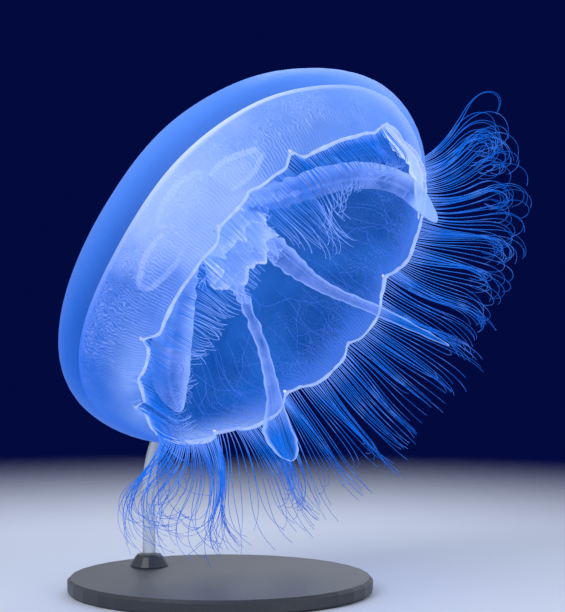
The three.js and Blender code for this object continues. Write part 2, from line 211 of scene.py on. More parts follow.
MAIN_CANALS = 8  # branching ones, and as many straight ones between them
FINE_CANALS = 110
CANAL_SPREADS = (radians(3), radians(26))  # between branches, at the least and at the first fork
CANAL_END = 0.98  # the share of the way from the roof of the hollow to the rim
CANAL_DEPTH = 0.2 * MM
MAIN_GIRTH = 0.22 * MM
STRAIGHT_GIRTH = 0.2 * MM
FINE_GIRTH = 0.13 * MM

# ---- Looks shared by several finishes ---------------------------------------------------

BLACK = (0.0, 0.0, 0.0, 1.0)
JELLY_IOR = 1.34
JELLY_GLOSS = 0.12  # wet jelly hardly mirrors the studio
EDGE_FULL = 0.97  # the share across a sheet from which its edge is fully milky
FRONT_LEAST = 0.2  # the front mask on the bell's far side
WALL_LINES = 360.0  # fine lines round the wall, as radians of their wave for each radian


def lerp(a, b, t):
    return a + (b - a) * t


def smooth(value, low, high):
    t = min(max((value - low) / (high - low), 0), 1)
    return t * t * (3 - 2 * t)


def along(values, t):
    """The value at t, from 0 to 1, of a list spaced equally."""
    place = min(max(t, 0), 1) * (len(values) - 1)
    step = min(int(place), len(values) - 2)
    return lerp(values[step], values[step + 1], place - step)


def polar(radius, angle, height):
    return Vector((radius * cos(angle), radius * sin(angle), height))


def turn_between(a, b):
    """The turn from b to a by the shorter way round."""
    turn = (a - b) / tau
    return tau * (turn - round(turn))


def spline(points, t):
    """The point at t of a smooth curve through all the points."""
    place = min(max(t, 0), 1) * (len(points) - 1)
    i = min(int(place), len(points) - 2)
    u = place - i
    p1, p2 = points[i], points[i + 1]
    p0 = points[i - 1] if i else p1 * 2 - p2
    p3 = points[i + 2] if i + 2 < len(points) else p2 * 2 - p1
    bend = (p2 - p0) * u + (p0 * 2 - p1 * 5 + p2 * 4 - p3) * u**2 + (p1 * 3 - p0 - p2 * 3 + p3) * u**3
    return p1 + bend * 0.5


# ---- The bell's surfaces ---------------------------------------------------------------


def wall_radius(height):
    """The outside of the even bell's wall: it slants out from the rim and ends upright."""
    share = sin(min(max(height, 0) / WALL_HEIGHT, 1) * pi / 2) ** WALL_POWER
    return lerp(RIM_RADIUS, BELL_RADIUS, share)


def wall_thickness(height):
    """Thin at the rim and at its full thickness from the top of the hollow's wall."""
    return lerp(EDGE_THICKNESS, BELL_RADIUS - HOLLOW_RADIUS, min(height / HOLLOW_WALL, 1) ** 0.8)


def dome_point(angle, radius, base, rise, power):
    """A point of a rounded dome over its base: angle goes from its edge to its top."""
    return (radius * max(cos(angle), 0) ** (2 / power), base + rise * sin(angle) ** (2 / power))


def outside_outline(steps):
    """From the rim up the wall to the crown."""
    wall = [(wall_radius(h), h) for h in [WALL_HEIGHT * i / steps for i in range(steps)]]
    turns = [(i / steps) * pi / 2 for i in range(steps + 1)]
    return wall + [dome_point(a, BELL_RADIUS, WALL_HEIGHT, DOME_HEIGHT, DOME_POWER) for a in turns]


def inside_outline(steps):
    """From the rim up the inner wall to the roof of the hollow."""
    heights = [HOLLOW_WALL * i / steps for i in range(steps)]
    wall = [(wall_radius(h) - wall_thickness(h), h) for h in heights]
    turns = [(i / steps) * pi / 2 for i in range(steps + 1)]
    return wall + [dome_point(a, HOLLOW_RADIUS, HOLLOW_WALL, HOLLOW_DOME, HOLLOW_POWER) for a in turns]


def edge_height(theta):
    """Height of the bell's edge: drawn up into a notch at each sense organ."""
    start = radians(NOTCH_ANGLES[0])
    turned = (theta - start) % tau
    lobe = max(i for i in range(8) if radians(NOTCH_ANGLES[i]) - start <= turned + 1e-9)
    heights = []
    for notch in (lobe, (lobe + 1) % 8):
        away = turn_between(theta, radians(NOTCH_ANGLES[notch])) / radians(NOTCH_WIDTHS[notch])
        heights.append(lerp(-LOBE_SAGS[lobe], NOTCH_HEIGHTS[notch], exp(-abs(away) ** 1.6)))
    height = max(heights)
    for degrees, lift, width in CRIMPS:
        away = turn_between(theta, radians(degrees)) / radians(width)
        height += lift * exp(-abs(away) ** 1.6)
    return (height + 0.9 * noise.noise(polar(9, theta, 0))) * MM


def lobe_bulge(theta):
    """How far the margin stands out between two notches."""
    nearest = min(abs(turn_between(theta, radians(d))) for d in NOTCH_ANGLES)
    return LOBE_BULGE * (2 * smooth(nearest, 0, radians(12)) - 1)


def squared(theta, radius, height):
    """The radius of a place on the even bell, moved in or out where the bell is squared."""
    up = min(max(height / (WALL_HEIGHT + DOME_HEIGHT), 0), 1)
    share = sin(pi * up) * min(radius / SWELL_RADIUS, 1)
    return radius + SWELL_DEPTH * cos(SWELL_WAVES * (theta - SWELL_TURN)) * share


def to_margin(theta, radius, height):
    """A place on the even bell of revolution, moved to the lobed and gently uneven one."""
    share = max(1 - height / SEAM_HEIGHT, 0) ** 2
    lowered = height + edge_height(theta) * share
    moved = radius + wall_radius(lowered) - wall_radius(height)
    moved += lobe_bulge(theta) * share
    swell = noise.noise(polar(2.2, theta, height * 30)) * 0.9 * MM
    return squared(theta, moved, lowered) + swell * min(radius / RIM_RADIUS, 1), lowered


def margin_place(theta, out=0.0, up=0.0):
    """A place beside the middle of the bell's edge."""
    height = edge_height(theta)
    radius = squared(theta, wall_radius(height), height) + lobe_bulge(theta) - EDGE_THICKNESS / 2
    return polar(radius + out, theta, height + up)


def inner_place(theta, share, depth=0.0):
    """A place on the bell's inner surface: share goes from the roof, 0, to the rim, 1."""
    radius, height = along_outline(INNER_LINE, 1 - share)
    radius, height = to_margin(theta, radius, height)
    return polar(radius - depth, theta, height)


def even_outline(outline, count):
    """The same outline with points equally far apart."""
    lengths = [0]
    for a, b in zip(outline, outline[1:]):
        lengths.append(lengths[-1] + hypot(b[0] - a[0], b[1] - a[1]))
    points, step = [], 0
    for i in range(count + 1):
        want = lengths[-1] * i / count
        while step < len(outline) - 2 and lengths[step + 1] < want:
            step += 1
        t = (want - lengths[step]) / (lengths[step + 1] - lengths[step])
        points.append(tuple(lerp(a, b, t) for a, b in zip(outline[step], outline[step + 1])))
    return points


def along_outline(outline, t):
    """The point at t, from 0 to 1, of an evenly spaced outline."""
    return tuple(along([p[i] for p in outline], t) for i in (0, 1))


INNER_LINE = even_outline(inside_outline(24), INNER_STEPS)


# ---- The bell's place -------------------------------------------------------------------


def bell_turn():
    """The bell's axes as they stand in the room: the crown's way is its z axis."""
    level = cos(CROWN_AWAY)
    crown = Vector((level * cos(CROWN_ROLL), sin(CROWN_AWAY), level * sin(CROWN_ROLL)))
    across = Vector((sin(CROWN_ROLL), 0, -cos(CROWN_ROLL)))
    away = crown.cross(across)
    return Matrix.Rotation(-FRONT_RISE, 3, "X") @ Matrix((across, away, crown)).transposed()


def box_centre(points):
    """The middle of the points' upright box."""
    return Vector([(min(p[i] for p in points) + max(p[i] for p in points)) / 2 for i in range(3)])


def bell_place():
    """The bell's frame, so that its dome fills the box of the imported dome."""
    turn = bell_turn()
    dome = [(r, h) for r, h in outside_outline(16) if h >= SEAM_HEIGHT]
    rounds = [tau * i / 90 for i in range(90)]
    ring = [turn @ polar(squared(a, r, h), a, h) for r, h in dome for a in rounds]
    centre = sum(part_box("bell_dome"), Vector()) / 2
    return Matrix.Translation(centre - box_centre(ring)) @ turn.to_4x4()


BELL = bell_place()


# ---- Shape helpers ----------------------------------------------------------------------


def start_fresh():
    """An operator acts on all that is selected, so nothing is."""
    bpy.ops.object.select_all(action="DESELECT")


def finish_piece(piece, name, materials, nodes=()):
    """Names a piece, gives it its finish and hangs it on the body."""
    piece.name = piece.data.name = name
    piece.data.materials.clear()
    for material in materials:
        piece.data.materials.append(material)
    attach(piece, "root")
    if nodes:
        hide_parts(*nodes)
    return piece


def smooth_shading(piece):
    start_fresh()
    piece.select_set(True)
    bpy.context.view_layer.objects.active = piece
    bpy.ops.object.shade_smooth()


def move_points(piece, place):
    for vertex in piece.data.vertices:
        vertex.co = place(vertex.co)


def spun(outline, steps):
    """A closed outline of (radius, height) turned round the z axis."""
    start_fresh()
    bpy.ops.mesh.primitive_circle_add(vertices=len(outline), radius=1)
    piece = bpy.context.object
    for vertex, (radius, height) in zip(piece.data.vertices, outline):
        vertex.co = (radius, 0, height)
    bpy.ops.object.mode_set(mode="EDIT")
    bpy.ops.mesh.select_all(action="SELECT")
    bpy.ops.mesh.spin(steps=steps, angle=tau, center=(0, 0, 0), axis=(0, 0, 1))
    bpy.ops.mesh.select_all(action="SELECT")
    bpy.ops.mesh.remove_doubles(threshold=1e-6)
    bpy.ops.mesh.delete_loose(use_verts=True, use_edges=True, use_faces=False)
    bpy.ops.mesh.select_all(action="SELECT")
    bpy.ops.mesh.normals_make_consistent(inside=False)
    bpy.ops.object.mode_set(mode="OBJECT")
    smooth_shading(piece)
    return piece


def walled(piece, thickness):
    """Gives a sheet its thickness, half on either side."""
    wall = piece.modifiers.new("wall", "SOLIDIFY")
    wall.thickness = thickness
    wall.offset = 0
    bpy.ops.object.modifier_apply(modifier=wall.name)
    smooth_shading(piece)
    return piece


def sheet(columns, rows, place, edges):
    """A sheet from place(s, t), s across and t along it from 0 to 1; edges(s, t) is its
    "along" value, which its finish reads."""
    start_fresh()
    bpy.ops.mesh.primitive_grid_add(x_subdivisions=columns, y_subdivisions=rows, size=2)
    piece = bpy.context.object
    spots = [((v.co.x + 1) / 2, (v.co.y + 1) / 2) for v in piece.data.vertices]
    for vertex, (s, t) in zip(piece.data.vertices, spots):
        vertex.co = place(s, t)
    layer = piece.data.attributes.new("along", "FLOAT", "POINT")
    layer.data.foreach_set("value", [edges(s, t) for s, t in spots])
    return piece


def joined(pieces):
    """One object from several."""
    start_fresh()
    for piece in pieces:
        piece.select_set(True)
    bpy.context.view_layer.objects.active = pieces[0]
    bpy.ops.object.join()
    return bpy.context.object


def joined_mesh(name, points, faces, values=None, patches=None):
    """One mesh from many strands. values gives each point its share along the strand, and
    patches gives each point its place on the unwrap of the skin."""
    mesh = bpy.data.meshes.new(name)
    mesh.from_pydata(points, [], faces)
    if values:
        layer = mesh.attributes.new("along", "FLOAT", "POINT")
        layer.data.foreach_set("value", values)
    if patches:
        unwrap = mesh.uv_layers.new(name="OFBake")
        for loop in mesh.loops:
            unwrap.data[loop.index].uv = patches[loop.vertex_index]
    mesh.polygons.foreach_set("use_smooth", [True] * len(mesh.polygons))
    mesh.update()
    piece = bpy.data.objects.new(name, mesh)
    bpy.context.scene.collection.objects.link(piece)
    return piece


class Strands:
    """Collects round strands and makes one mesh of them."""

    PATCH = 0.003  # the size of one strand's place on the unwrap

    def __init__(self, sides):
        self.sides = sides
        self.points, self.faces, self.values, self.patches = [], [], [], []

    def add(self, line, girth, patch=None):
        """A tube along a line of points; girth(t) is its radius at t."""
        sides, first, last = self.sides, len(self.points), len(line) - 1
        across = None
        for i, point in enumerate(line):
            t = i / last
            forward = (line[min(i + 1, last)] - line[max(i - 1, 0)]).normalized()
            if across is None:
                across = forward.orthogonal().normalized()
            across = (across - forward * across.dot(forward)).normalized()
            other = forward.cross(across)
            radius = girth(t)
            for k in range(sides):
                turn = tau * k / sides
                self.points.append(point + (across * cos(turn) + other * sin(turn)) * radius)
                self.values.append(t)
                if patch:
                    u = patch[0] + self.PATCH * 2 * abs(k / sides - 0.5)
                    self.patches.append((u, patch[1] + self.PATCH * t))
            if i:
                low = first + (i - 1) * sides
                for k in range(sides):
                    n = (k + 1) % sides
                    self.faces.append((low + k, low + n, low + sides + n, low + sides + k))
        self.faces.append(tuple(first + k for k in reversed(range(sides))))
        self.faces.append(tuple(first + last * sides + k for k in range(sides)))

    def piece(self, name):
        return joined_mesh(name, self.points, self.faces, self.values, self.patches or None)


# ---- Shader helpers ---------------------------------------------------------------------


class Graph:
    """Short ways to add nodes to a material's or a group's tree."""

    def __init__(self, tree):
        self.tree = tree

    def node(self, kind, **values):
        made = self.tree.nodes.new("ShaderNode" + kind)
        for name, value in values.items():
            setattr(made, name, value)
        return made

    def feed(self, socket, value):
        if isinstance(value, bpy.types.NodeSocket):
            self.tree.links.new(value, socket)
        else:
            socket.default_value = value

    def math(self, operation, *values, clamp=False):
        made = self.node("Math", operation=operation, use_clamp=clamp)
        for socket, value in zip(made.inputs, values):
            self.feed(socket, value)
        return made.outputs[0]

    def band(self, value, low, high, start=0.0, end=1.0):
        """start below low, end above high, and a smooth way between."""
        made = self.node("MapRange", interpolation_type="SMOOTHSTEP")
        for socket, part in zip(made.inputs, (value, low, high, start, end)):
            self.feed(socket, part)
        return made.outputs[0]

    def mix(self, share, a, b):
        made = self.node("Mix", data_type="RGBA")
        self.feed(made.inputs["Factor"], share)
        self.feed(made.inputs[6], a)
        self.feed(made.inputs[7], b)
        return made.outputs[2]

    def noise(self, vector, scale, detail):
        made = self.node("TexNoise")
        self.feed(made.inputs["Vector"], vector)
        made.inputs["Scale"].default_value = scale
        made.inputs["Detail"].default_value = detail
        return made.outputs["Fac"]

    def uneven(self, cloud, reach):
        """A cloud mask made a small change up and down, by half of reach either way."""
        return self.math("MULTIPLY", self.math("SUBTRACT", cloud, 0.5), reach)

    def place(self):
        return self.node("TexCoord").outputs["Object"]

    def share_along(self):
        """The share along a strand or towards a sheet's milky edge."""
        return self.node("Attribute", attribute_name="along").outputs["Fac"]

    def bump(self, height, strength, distance):
        made = self.node("Bump")
        made.inputs["Strength"].default_value = strength
        made.inputs["Distance"].default_value = distance
        self.feed(made.inputs["Height"], height)
        return made.outputs["Normal"]

    def group(self, tree):
        return self.node("Group", node_tree=tree).outputs

    def facing(self):
        """0 where the surface is seen head on, 1 where it is seen edge on."""
        return self.node("LayerWeight").outputs["Facing"]


def rgb(red, green, blue):
    """A colour from its 0 to 255 values as seen on a screen."""
    parts = [c / 255 for c in (red, green, blue)]
    return tuple([c / 12.92 if c <= 0.04045 else ((c + 0.055) / 1.055) ** 2.4 for c in parts] + [1.0])


def new_material(name, **values):
    """A material with these values on its shader's sockets, its graph and its shader."""
    material = bpy.data.materials.new(name)
    material.use_nodes = True
    shader = material.node_tree.nodes["Principled BSDF"]
    for socket, value in values.items():
        shader.inputs[socket.replace("_", " ")].default_value = value
    return material, Graph(material.node_tree), shader


def group_outputs(name, *outputs):
    """A new group with these output sockets, its tree's graph and its output node."""
    tree = bpy.data.node_groups.new(name, "ShaderNodeTree")
    for socket in outputs:
        kind = "NodeSocketVector" if socket == "Point" else "NodeSocketFloat"
        tree.interface.new_socket(socket, in_out="OUTPUT", socket_type=kind)
    return Graph(tree), tree.nodes.new("NodeGroupOutput")


def bell_frame_group():
    """Distance from the bell's axis, height above its rim, and angle round it, in metres
    and radians, with the point itself in the bell's frame."""
    g, out = group_outputs("Bell frame", "Radius", "Height", "Round", "Point")
    mapping = g.node("Mapping", vector_type="POINT")
    back = BELL.inverted()
    mapping.inputs["Rotation"].default_value = back.to_euler("XYZ")
    mapping.inputs["Location"].default_value = back.translation
    g.feed(mapping.inputs["Vector"], g.place())
    parts = g.node("SeparateXYZ")
    g.feed(parts.inputs[0], mapping.outputs[0])
    x, y, z = parts.outputs
    across = g.math("SQRT", g.math("ADD", g.math("MULTIPLY", x, x), g.math("MULTIPLY", y, y)))
    g.feed(out.inputs["Radius"], across)
    g.feed(out.inputs["Height"], z)
    g.feed(out.inputs["Round"], g.math("ARCTAN2", y, x))
    g.feed(out.inputs["Point"], mapping.outputs[0])
    return g.tree


BELL_FRAME = bell_frame_group()


def lines_group():
    """Fine pale lines that run up the wall and break up into a maze under the shoulder."""
    g, out = group_outputs("Wall lines", "Mask")
    place = g.group(BELL_FRAME)
    maze = g.band(place["Height"], 0.0, 0.03, 5.0, 34.0)
    wander = g.uneven(g.noise(place["Point"], 290, 1), maze)
    wave = g.math("SINE", g.math("ADD", g.math("MULTIPLY", place["Round"], WALL_LINES), wander))
    drift = g.band(g.noise(place["Point"], 60, 2), 0.32, 0.62, 0.3, 1.0)
    g.feed(out.inputs["Mask"], g.math("MULTIPLY", g.band(wave, 0.0, 1.0), drift))
    return g.tree


def sides_group():
    """Masks for the bell's upper side, which the finishes make paler as painted light, its lowest
    part, its front side and the milky clouds over its stomach and in front of it."""
    g, out = group_outputs("Sides", "Upper_painted_light", "Low", "Front", "Stomach", "Cloud")
    point = g.group(BELL_FRAME)["Point"]
    parts = g.node("SeparateXYZ")
    g.feed(parts.inputs[0], point)
    # Painted light: finishes that read this mask make the upper side paler, where the light falls.
    g.feed(out.inputs["Upper_painted_light"], g.band(parts.outputs[0], -0.1, 0.04))
    g.feed(out.inputs["Low"], g.band(parts.outputs[0], -0.09, -0.035, 1.0, 0.0))
    g.feed(out.inputs["Front"], g.band(parts.outputs[1], -0.05, 0.035, 1.0, FRONT_LEAST))
    blurred = g.uneven(g.noise(point, 34, 3), 0.05)
    for name, centre, near, far in (
        ("Stomach", STOMACH_SHIFT + Vector((0, 0, HOLLOW_WALL + HOLLOW_DOME)), 0.022, 0.06),
        ("Cloud", CLOUD_CENTRE, 0.016, 0.05),
    ):
        reach = g.node("VectorMath", operation="DISTANCE")
        g.feed(reach.inputs[0], point)
        reach.inputs[1].default_value = centre
        away = g.math("ADD", reach.outputs["Value"], blurred)
        g.feed(out.inputs[name], g.band(away, near, far, 1.0, 0.0))
    return g.tree


LINES = lines_group()
SIDES = sides_group()


# ---- Finishes ---------------------------------------------------------------------------


def jelly(name, colour, painted_glow, shade, **values):
    """A jelly's shader: its colour is given off as a painted glow that stands in for light
    shining through the jelly, and shade of it takes the studio's light. colour(g) gives the
    colour's socket."""
    material, g, shader = new_material(name, IOR=JELLY_IOR, Specular_IOR_Level=JELLY_GLOSS, **values)
    tint = colour(g)
    # Painted glow: the jelly gives off its own colour, standing in for light shining through it.
    g.feed(shader.inputs["Emission Color"], tint)
    g.feed(shader.inputs["Base Color"], g.mix(shade, BLACK, tint))
    shader.inputs["Emission Strength"].default_value = painted_glow
    return material, g, shader


def rimmed(g, clear, thick, low, high, power):
    """How much a glassy wall hides: little when seen head on and more when seen edge on."""
    edge = g.math("POWER", g.band(g.facing(), low, high), power)
    return g.math("ADD", clear, g.math("MULTIPLY", edge, g.math("SUBTRACT", thick, clear)))


def gel_material():
    """The clear outer jelly, with painted light: paler on the upper side, where the light falls, and
    saturated blue on the lower.
    """

    def colour(g):
        cloud = g.noise(g.group(BELL_FRAME)["Point"], 30, 3)
        # Painted light: the upper side is paler and the lower side deeper blue.
        tone = g.mix(g.group(SIDES)["Upper_painted_light"], rgb(12, 98, 214), rgb(78, 140, 250))
        return g.mix(g.math("MULTIPLY", cloud, 0.25), tone, rgb(112, 160, 255))

    material, g, shader = jelly("bell gel", colour, 0.84, 0.26, Roughness=0.4)
    g.feed(shader.inputs["Alpha"], rimmed(g, 0.12, 0.74, 0.16, 0.74, 1.0))
    return material


def lining_material():
    """The inner skin: deep blue, milky at the margin, with fine lines up its wall."""

    def colour(g):
        place, low = g.group(BELL_FRAME), g.group(SIDES)["Low"]
        drift = g.noise(place["Point"], 26, 2)
        deep = g.mix(g.band(drift, 0.38, 0.66), rgb(0, 84, 180), rgb(24, 106, 212))
        hazy = g.band(place["Height"], -0.004, 0.024, 1.0, 0.0)
        milk = g.math("MULTIPLY", hazy, g.band(low, 0.0, 1.0, 0.6, 0.95))
        tone = g.mix(milk, deep, g.mix(low, rgb(88, 138, 250), rgb(172, 202, 255)))
        fading = g.band(place["Height"], 0.02, 0.05, 0.26, 0.06)
        lined = g.math("MULTIPLY", g.group(LINES)["Mask"], fading)
        return g.mix(lined, tone, rgb(110, 154, 255))

    material, g, shader = jelly("bell lining", colour, 0.8, 0.2, Roughness=0.5)
    sides = g.group(SIDES)
    hazy = g.band(g.group(BELL_FRAME)["Height"], -0.004, 0.02, 1.0, 0.0)
    milk = g.math("MULTIPLY", hazy, g.band(sides["Low"], 0.0, 1.0, 0.2, 0.46))
    lined = g.math("ADD", milk, g.math("MULTIPLY", g.group(LINES)["Mask"], 0.05))
    plain = g.band(sides["Front"], FRONT_LEAST, 1.0, 0.8, 0.53)
    g.feed(shader.inputs["Alpha"], g.math("ADD", lined, plain))
    return material


def net_material():
    """The pale muscle net inside the wall: lines that break up into a maze, denser on the
    front side, with milky clouds over the stomach and in front of it. Its colour carries
    painted light: paler on the upper side, where the light falls, and a painted highlight
    where it is seen edge on."""

    def colour(g):
        sides = g.group(SIDES)
        # Painted light: paler on the upper side.
        plain = g.mix(sides["Upper_painted_light"], rgb(50, 112, 230), rgb(146, 182, 255))
        edge_milk = g.band(g.group(BELL_FRAME)["Height"], 0.0, 0.016, 1.0, 0.0)
        plain = g.mix(g.math("MULTIPLY", sides["Low"], edge_milk), plain, rgb(126, 170, 255))
        cloudy = g.mix(g.math("MAXIMUM", sides["Stomach"], sides["Cloud"]), plain, rgb(166, 192, 255))
        lined = g.mix(g.math("MULTIPLY", g.group(LINES)["Mask"], 0.5), cloudy, rgb(184, 206, 255))
        # Painted highlight: pale where the net is seen edge on, palest on the upper side.
        painted_edge_highlight = g.mix(sides["Upper_painted_light"], rgb(40, 108, 228), rgb(216, 226, 255))
        return g.mix(rimmed(g, 0.0, 0.9, 0.5, 0.95, 1.0), lined, painted_edge_highlight)

    material, g, shader = jelly("wall net", colour, 0.88, 0.35, Roughness=0.5)
    sides, height = g.group(SIDES), g.group(BELL_FRAME)["Height"]
    unclouded = g.math("SUBTRACT", 1.0, g.math("MULTIPLY", sides["Cloud"], 0.7))
    lines = g.math("MULTIPLY", g.math("MULTIPLY", g.group(LINES)["Mask"], 0.22), unclouded)
    wall = g.math("ADD", g.band(height, -0.004, 0.034, 0.16, 0.27), lines)
    wall = g.math("MULTIPLY", wall, sides["Front"])
    stomach = g.math("MULTIPLY", sides["Stomach"], 0.2)
    milk = g.math("MAXIMUM", stomach, g.math("MULTIPLY", sides["Cloud"], 0.3))
    edge_milk = g.math("MULTIPLY", sides["Low"], g.band(height, 0.0, 0.012, 0.18, 0.0))
    clear = g.math("ADD", wall, g.math("MAXIMUM", milk, edge_milk))
    g.feed(shader.inputs["Alpha"], rimmed(g, clear, 0.9, 0.52, 0.98, 1.3))
    return material


def milky_material(name, deep, pale, low, high, painted_glow, edge_from=0.72):
    """A sheet that is clearer along its middle and milky at its edges."""

    def colour(g):
        return g.mix(g.band(g.share_along(), edge_from - 0.1, EDGE_FULL), deep, pale)

    material, g, shader = jelly(name, colour, painted_glow, 0.45, Roughness=0.35)
    hides = g.band(g.share_along(), edge_from, EDGE_FULL, low, high)
    hides = g.math("ADD", hides, g.uneven(g.noise(g.place(), 160, 3), 0.4))
    g.feed(shader.inputs["Alpha"], g.math("MAXIMUM", hides, 0.0, clamp=True))
    return material


def arm_material():
    """Arms: a faint veil with pale ruffled edges, clearer and bluer beyond the bell's edge."""

    def outside(g):
        return g.band(g.group(BELL_FRAME)["Height"], -0.042, -0.026, 1.0, 0.0)

    def colour(g):
        deep = g.mix(outside(g), rgb(132, 164, 250), rgb(20, 112, 226))
        return g.mix(g.band(g.share_along(), 0.7, EDGE_FULL), deep, rgb(150, 184, 255))

    material, g, shader = jelly("arm", colour, 0.76, 0.45, Roughness=0.35)
    share = g.share_along()
    vein = g.band(g.math("ABSOLUTE", g.math("SUBTRACT", share, 0.42)), 0.0, 0.12, 0.16, 0.0)
    cloud = g.uneven(g.noise(g.place(), 110, 3), 0.8)
    hides = g.math("ADD", g.band(share, 0.5, 0.98, 0.19, 0.58), cloud)
    hides = g.math("ADD", hides, g.math("ADD", vein, g.math("MULTIPLY", outside(g), 0.12)))
    g.feed(shader.inputs["Alpha"], g.math("MAXIMUM", hides, 0.0, clamp=True))
    return material


def soft_material(name, colour, hides, painted_glow):
    """A soft-edged strand that gives off its colour as a painted glow: it hides most where it is seen
    head on.
    """
    material, g, shader = new_material(
        name,
        Roughness=0.5,
        IOR=JELLY_IOR,
        Specular_IOR_Level=JELLY_GLOSS,
        Emission_Color=colour,
        Emission_Strength=painted_glow,
        Base_Color=tuple(0.55 * c for c in colour[:3]) + (1.0,),
    )
    g.feed(shader.inputs["Alpha"], g.band(g.facing(), 0.1, 0.95, hides, 0.0))
    return material


def strand_material():
    """Tentacles: pale blue at the root and inside the bell, deep blue towards the tip."""

    def colour(g):
        share, place = g.share_along(), g.group(BELL_FRAME)
        cloud = g.noise(place["Point"], 90, 2)
        tone = g.mix(g.band(share, 0.0, 0.25), rgb(104, 150, 250), rgb(16, 104, 220))
        tone = g.mix(g.band(share, 0.25, 1.0), tone, rgb(4, 86, 196))
        tone = g.mix(g.math("MULTIPLY", g.band(cloud, 0.5, 0.7), 0.6), tone, rgb(84, 142, 244))
        inside = g.band(place["Radius"], 0.084, 0.094, 0.85, 0.0)
        return g.mix(inside, tone, rgb(132, 170, 255))

    material, g, shader = jelly("tentacle", colour, 0.95, 0.3, Roughness=0.5)
    g.feed(shader.inputs["Alpha"], g.band(g.share_along(), 0.2, 1.0, 0.9, 0.62))
    return material


def pale_material(name, colour, painted_glow):
    """A firm pale skin with a faint bumpy cloud over it, for the rim and the sense organs. It gives off
    its colour as a painted glow.
    """
    material, g, shader = new_material(name, Roughness=0.35, IOR=1.36, Specular_IOR_Level=0.15)
    cloud = g.noise(g.place(), 260, 3)
    shade = g.mix(g.band(cloud, 0.3, 0.7), tuple(0.8 * c for c in colour[:3]) + (1.0,), colour)
    g.feed(shader.inputs["Base Color"], g.mix(0.4, BLACK, shade))
    # Painted glow: the skin gives off its own colour.
    g.feed(shader.inputs["Emission Color"], shade)
    shader.inputs["Emission Strength"].default_value = painted_glow
    g.feed(shader.inputs["Normal"], g.bump(cloud, 0.4, 0.0005))
    return material


# ---- Bell -------------------------------------------------------------------------------


def bell_skin():
    """The whole bell as one closed skin: clear jelly outside, lining inside, lobed margin."""
    outside = even_outline(outside_outline(24), OUTER_STEPS)
    outline = list(reversed(outside)) + INNER_LINE
    outline[0] = (0, outline[0][1])
    outline[-1] = (0, outline[-1][1])
    skin = spun(outline, BELL_STEPS)
    focus = Vector((0, 0, SEAM_HEIGHT))
    inward = [f.normal.dot(f.center - focus) < 0 for f in skin.data.polygons]
    move_points(skin, on_margin)
    lobes = [f"margin_lobe_{i + 1}" for i in range(8)]
    finish_piece(skin, "bell_skin", [gel_material(), lining_material()], ["bell_dome"] + lobes)
    for face, inner in zip(skin.data.polygons, inward):
        face.material_index = int(inner)
    return skin


def on_margin(point):
    """A point of the even bell, moved to its place on the real one."""
    theta = atan2(point.y, point.x)
    radius, height = to_margin(theta, hypot(point.x, point.y), point.z)
    return BELL @ polar(radius, theta, height)


def deeper_line(depth):
    """The lining's outline moved into the jelly by a share of the wall's thickness."""
    moved, last = [], len(INNER_LINE) - 1
    for i, (radius, height) in enumerate(INNER_LINE):
        before, after = INNER_LINE[max(i - 1, 0)], INNER_LINE[min(i + 1, last)]
        along_r, along_h = after[0] - before[0], after[1] - before[1]
        length = hypot(along_r, along_h)
        deep = depth * wall_thickness(height)
        moved.append((radius + deep * along_h / length, height - deep * along_r / length))
    moved[-1] = (0, moved[-2][1])
    return moved


def wall_net():
    """The muscle net, a thin closed shell inside the jelly, close to the lining."""
    inner, outer = (deeper_line(depth) for depth in NET_DEPTHS)
    net = spun(list(reversed(outer)) + inner, NET_STEPS)
    move_points(net, on_margin)
    return finish_piece(net, "wall_net", [net_material()])


def rim_band():
    """The thickened, slightly beaded edge of the margin."""
    start_fresh()
    bpy.ops.mesh.primitive_torus_add(
        major_segments=RIM_STEPS, minor_segments=10, major_radius=RIM_RADIUS, minor_radius=RIM_BEAD
    )
    band = bpy.context.object

    def place(point):
        theta = atan2(point.y, point.x)
        out, up = hypot(point.x, point.y) - RIM_RADIUS, point.z
        swell = 1 + 0.45 * noise.noise(polar(22, theta, 0)) + 0.35 * noise.noise(polar(7, theta, 5))
        return BELL @ margin_place(theta, out * swell, up * swell)

    move_points(band, place)
    smooth_shading(band)
    return finish_piece(band, "rim_band", [pale_material("rim", rgb(168, 194, 255), 0.84)])


def margin_fold():
    """The margin turned inwards on the right, where the bell curls over."""

    def place(s, t):
        theta = lerp(FOLD_FROM, FOLD_TO, t)
        wide = FOLD_WIDTH * smooth(t, 0, 0.12) * smooth(1.02 - t, 0, 0.3)
        wide *= 1 + 0.25 * noise.noise(polar(14, theta, 3))
        roll = FOLD_ROLL * sin(0.9 * pi * s) * smooth(t, 0, 0.2)
        return BELL @ margin_place(theta, -wide * s, roll + 0.2 * MM)

    fold = walled(sheet(12, 90, place, lambda s, t: abs(2 * s - 1)), BLADE)
    finish = milky_material("fold", rgb(166, 192, 255), rgb(190, 208, 255), 0.84, 0.94, 0.86, 0.4)
    return finish_piece(fold, "margin_fold", [finish])


def sense_beads():
    """The small white sense organs, one in each notch of the margin."""
    finish = pale_material("sense organ", rgb(222, 232, 255), 0.9)
    for i, degrees in enumerate(NOTCH_ANGLES):
        theta = radians(degrees)
        start_fresh()
        bpy.ops.mesh.primitive_uv_sphere_add(segments=16, ring_count=10, radius=BEAD_RADIUS)
        bead = bpy.context.object
        centre = margin_place(theta, 0, BEAD_LIFT)

        def place(point, centre=centre):
            return BELL @ (centre + Vector((point.x, point.y, point.z * BEAD_STRETCH)))

        move_points(bead, place)
        smooth_shading(bead)
        finish_piece(bead, f"sense_bead_{i + 1}", [finish], [f"sense_organ_{i + 1}"])


# ---- Tentacles --------------------------------------------------------------------------


def outward_share(theta):
    """1 where the tentacles trail outside the bell, 0 where they hang into its hollow."""
    past = (theta - FAN_START) % tau
    return smooth(past, 0, FAN_RISE) * (1 - smooth(past, FAN_SPAN, FAN_SPAN + FAN_RISE))


